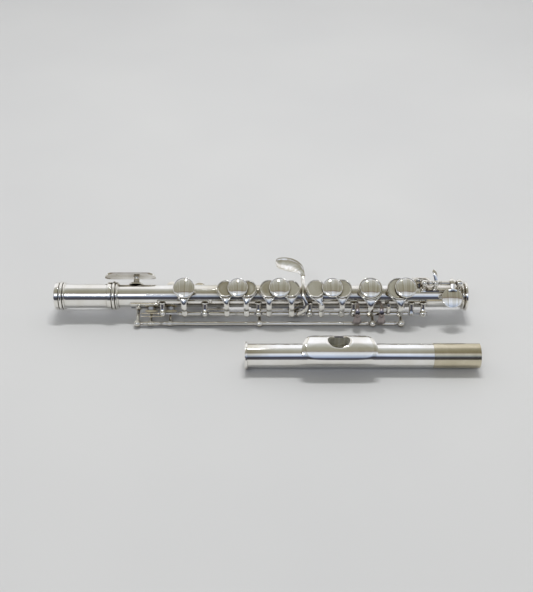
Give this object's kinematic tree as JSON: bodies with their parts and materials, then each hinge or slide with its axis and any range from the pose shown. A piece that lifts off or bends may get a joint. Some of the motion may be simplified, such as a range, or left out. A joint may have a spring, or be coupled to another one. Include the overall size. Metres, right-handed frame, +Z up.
{
  "type": "piccolo",
  "caption": "Metal Boehm piccolo taken apart: keyed body joint with padded cups, finger plates, trill and pinky keys, beside its head joint with lip plate.",
  "frame": {"origin": "centre of the receiver's mouth, on the body joint's bore axis", "axes": "+X along the bore towards the foot, +Z up as the parts lie, head joint on the -Y side"},
  "size_m": [0.2188, 0.0668, 0.0295],
  "materials": {
    "silver_plate": "mirror-polished silver plate",
    "lip_silver": "polished silver plate of the lip plate and crown",
    "nickel_silver": "bare nickel silver, lightly worn from fitting",
    "rod_steel": "ground steel",
    "spring_gold": "gold-coloured spring wire",
    "pad_skin": "cream bladder skin over felt",
    "felt": "brown bumper felt",
    "cork": "natural cork"
  },
  "bodies": {
    "body_joint": {"body_tube": "silver_plate", "receiver": "silver_plate", "foot_ring": "silver_plate", "tone_hole_rims": "silver_plate", "left_hand_rest": "silver_plate", "ribs": "silver_plate", "main_posts": "silver_plate", "outer_posts": "silver_plate", "d_sharp_posts": "silver_plate", "thumb_posts": "silver_plate", "main_hinge_rods": "rod_steel", "thumb_hinge_rod": "rod_steel", "pivot_screws": "rod_steel", "needle_springs": "spring_gold", "bumper_felts": "felt"},
    "c_sharp_action": {"c_sharp_key": "silver_plate", "c_sharp_pad": "pad_skin", "c_sharp_plate": "silver_plate"},
    "b_flat_action": {"b_flat_key": "silver_plate", "b_flat_pad": "pad_skin"},
    "a_action": {"a_key": "silver_plate", "a_pad": "pad_skin", "a_plate": "silver_plate"},
    "g_action": {"g_key": "silver_plate", "g_pads": "pad_skin", "g_plate": "silver_plate"},
    "g_sharp_action": {"g_sharp_key": "silver_plate", "g_sharp_pad": "pad_skin", "g_sharp_spoon": "silver_plate"},
    "f_sharp_action": {"f_sharp_key": "silver_plate", "f_sharp_pad": "pad_skin"},
    "f_action": {"f_key": "silver_plate", "f_pad": "pad_skin", "f_plate": "silver_plate"},
    "e_action": {"e_key": "silver_plate", "e_pad": "pad_skin", "e_plate": "silver_plate"},
    "d_action": {"d_key": "silver_plate", "d_pad": "pad_skin", "d_plate": "silver_plate"},
    "d_trill_action": {"d_trill_key": "silver_plate", "d_trill_pad": "pad_skin"},
    "d_sharp_trill_action": {"d_sharp_trill_key": "silver_plate", "d_sharp_trill_pad": "pad_skin"},
    "d_sharp_action": {"d_sharp_key": "silver_plate", "d_sharp_pad": "pad_skin", "d_sharp_touch": "silver_plate"},
    "thumb_b_action": {"thumb_b_key": "silver_plate", "thumb_b_pad": "pad_skin"},
    "thumb_b_flat_action": {"thumb_b_flat_lever": "silver_plate"},
    "head_joint": {"head_tube": "silver_plate", "tenon": "nickel_silver", "lip_plate": "lip_silver", "lip_riser": "silver_plate"},
    "crown_screw": {"crown": "lip_silver"},
    "stopper": {"stopper_cork": "cork", "stopper_washers": "silver_plate", "stopper_rod": "rod_steel"}
  },
  "joints": [
    {"name": "c_sharp_hinge", "type": "hinge", "parent": "body_joint", "child": "c_sharp_action", "pos_m": [0.0714, -0.00918, -0.00488], "axis": [1, 0, 0], "range_deg": [-10, 0], "stiffness_Nm_per_rad": 0.006, "springref_deg": 20.05},
    {"name": "b_flat_hinge", "type": "hinge", "parent": "body_joint", "child": "b_flat_action", "pos_m": [0.0888, -0.00918, -0.00488], "axis": [1, 0, 0], "range_deg": [-10, 0], "stiffness_Nm_per_rad": 0.006, "springref_deg": 20.05},
    {"name": "a_hinge", "type": "hinge", "parent": "body_joint", "child": "a_action", "pos_m": [0.101, -0.00918, -0.00488], "axis": [1, 0, 0], "range_deg": [-10, 0], "stiffness_Nm_per_rad": 0.006, "springref_deg": 20.05},
    {"name": "g_hinge", "type": "hinge", "parent": "body_joint", "child": "g_action", "pos_m": [0.1188, -0.00918, -0.00488], "axis": [1, 0, 0], "range_deg": [-10, 0], "stiffness_Nm_per_rad": 0.006, "springref_deg": 20.05},
    {"name": "g_sharp_hinge", "type": "hinge", "parent": "body_joint", "child": "g_sharp_action", "pos_m": [0.1303, -0.00918, -0.00488], "axis": [1, 0, 0], "range_deg": [-10, 0], "stiffness_Nm_per_rad": 0.006, "springref_deg": 20.05},
    {"name": "f_sharp_hinge", "type": "hinge", "parent": "body_joint", "child": "f_sharp_action", "pos_m": [0.1412, -0.00918, -0.00488], "axis": [1, 0, 0], "range_deg": [-10, 0], "stiffness_Nm_per_rad": 0.006, "springref_deg": 20.05},
    {"name": "f_hinge", "type": "hinge", "parent": "body_joint", "child": "f_action", "pos_m": [0.1508, -0.00918, -0.00488], "axis": [1, 0, 0], "range_deg": [-10, 0], "stiffness_Nm_per_rad": 0.006, "springref_deg": 20.05},
    {"name": "e_hinge", "type": "hinge", "parent": "body_joint", "child": "e_action", "pos_m": [0.1664, -0.00918, -0.00488], "axis": [1, 0, 0], "range_deg": [-10, 0], "stiffness_Nm_per_rad": 0.006, "springref_deg": 20.05},
    {"name": "d_hinge", "type": "hinge", "parent": "body_joint", "child": "d_action", "pos_m": [0.1798, -0.00918, -0.00488], "axis": [1, 0, 0], "range_deg": [-10, 0], "stiffness_Nm_per_rad": 0.006, "springref_deg": 20.05},
    {"name": "d_trill_hinge", "type": "hinge", "parent": "body_joint", "child": "d_trill_action", "pos_m": [0.1136, -0.0119, -0.0093], "axis": [1, 0, 0], "range_deg": [-12, 0], "stiffness_Nm_per_rad": 0.006, "springref_deg": 20.05},
    {"name": "d_sharp_trill_hinge", "type": "hinge", "parent": "body_joint", "child": "d_sharp_trill_action", "pos_m": [0.1113, -0.0119, -0.0093], "axis": [1, 0, 0], "range_deg": [-12, 0], "stiffness_Nm_per_rad": 0.006, "springref_deg": 20.05},
    {"name": "d_sharp_hinge", "type": "hinge", "parent": "body_joint", "child": "d_sharp_action", "pos_m": [0.2041, -0.00355, 0.01094], "axis": [1, 0, 0], "range_deg": [0, 12], "stiffness_Nm_per_rad": 0.006, "springref_deg": -20.05},
    {"name": "thumb_b_hinge", "type": "hinge", "parent": "body_joint", "child": "thumb_b_action", "pos_m": [0.075, 0.00494, -0.0093], "axis": [1, 0, 0], "range_deg": [0, 10], "stiffness_Nm_per_rad": 0.006, "springref_deg": -20.05},
    {"name": "thumb_b_flat_hinge", "type": "hinge", "parent": "body_joint", "child": "thumb_b_flat_action", "pos_m": [0.0596, 0.00494, -0.0093], "axis": [1, 0, 0], "range_deg": [0, 8], "stiffness_Nm_per_rad": 0.006, "springref_deg": -20.05},
    {"name": "head_lift", "type": "slide", "parent": "body_joint", "child": "head_joint", "axis": [0, 0, 1], "range_m": [0, 0.06]},
    {"name": "crown_turn", "type": "hinge", "parent": "head_joint", "child": "crown_screw", "pos_m": [0.1013, -0.0446, -0.0043], "axis": [1, 0, 0], "range_deg": [-180, 180]},
    {"name": "stopper_travel", "type": "slide", "parent": "head_joint", "child": "stopper", "axis": [1, 0, 0], "range_m": [-0.00035, 0.00035]}
  ],
  "couplings": [
    {"joint": "b_flat_hinge", "follows": "a_hinge", "ratio": 1},
    {"joint": "f_sharp_hinge", "follows": "f_hinge", "ratio": 1},
    {"joint": "crown_turn", "follows": "stopper_travel", "rad_per_m": 8976}
  ]
}
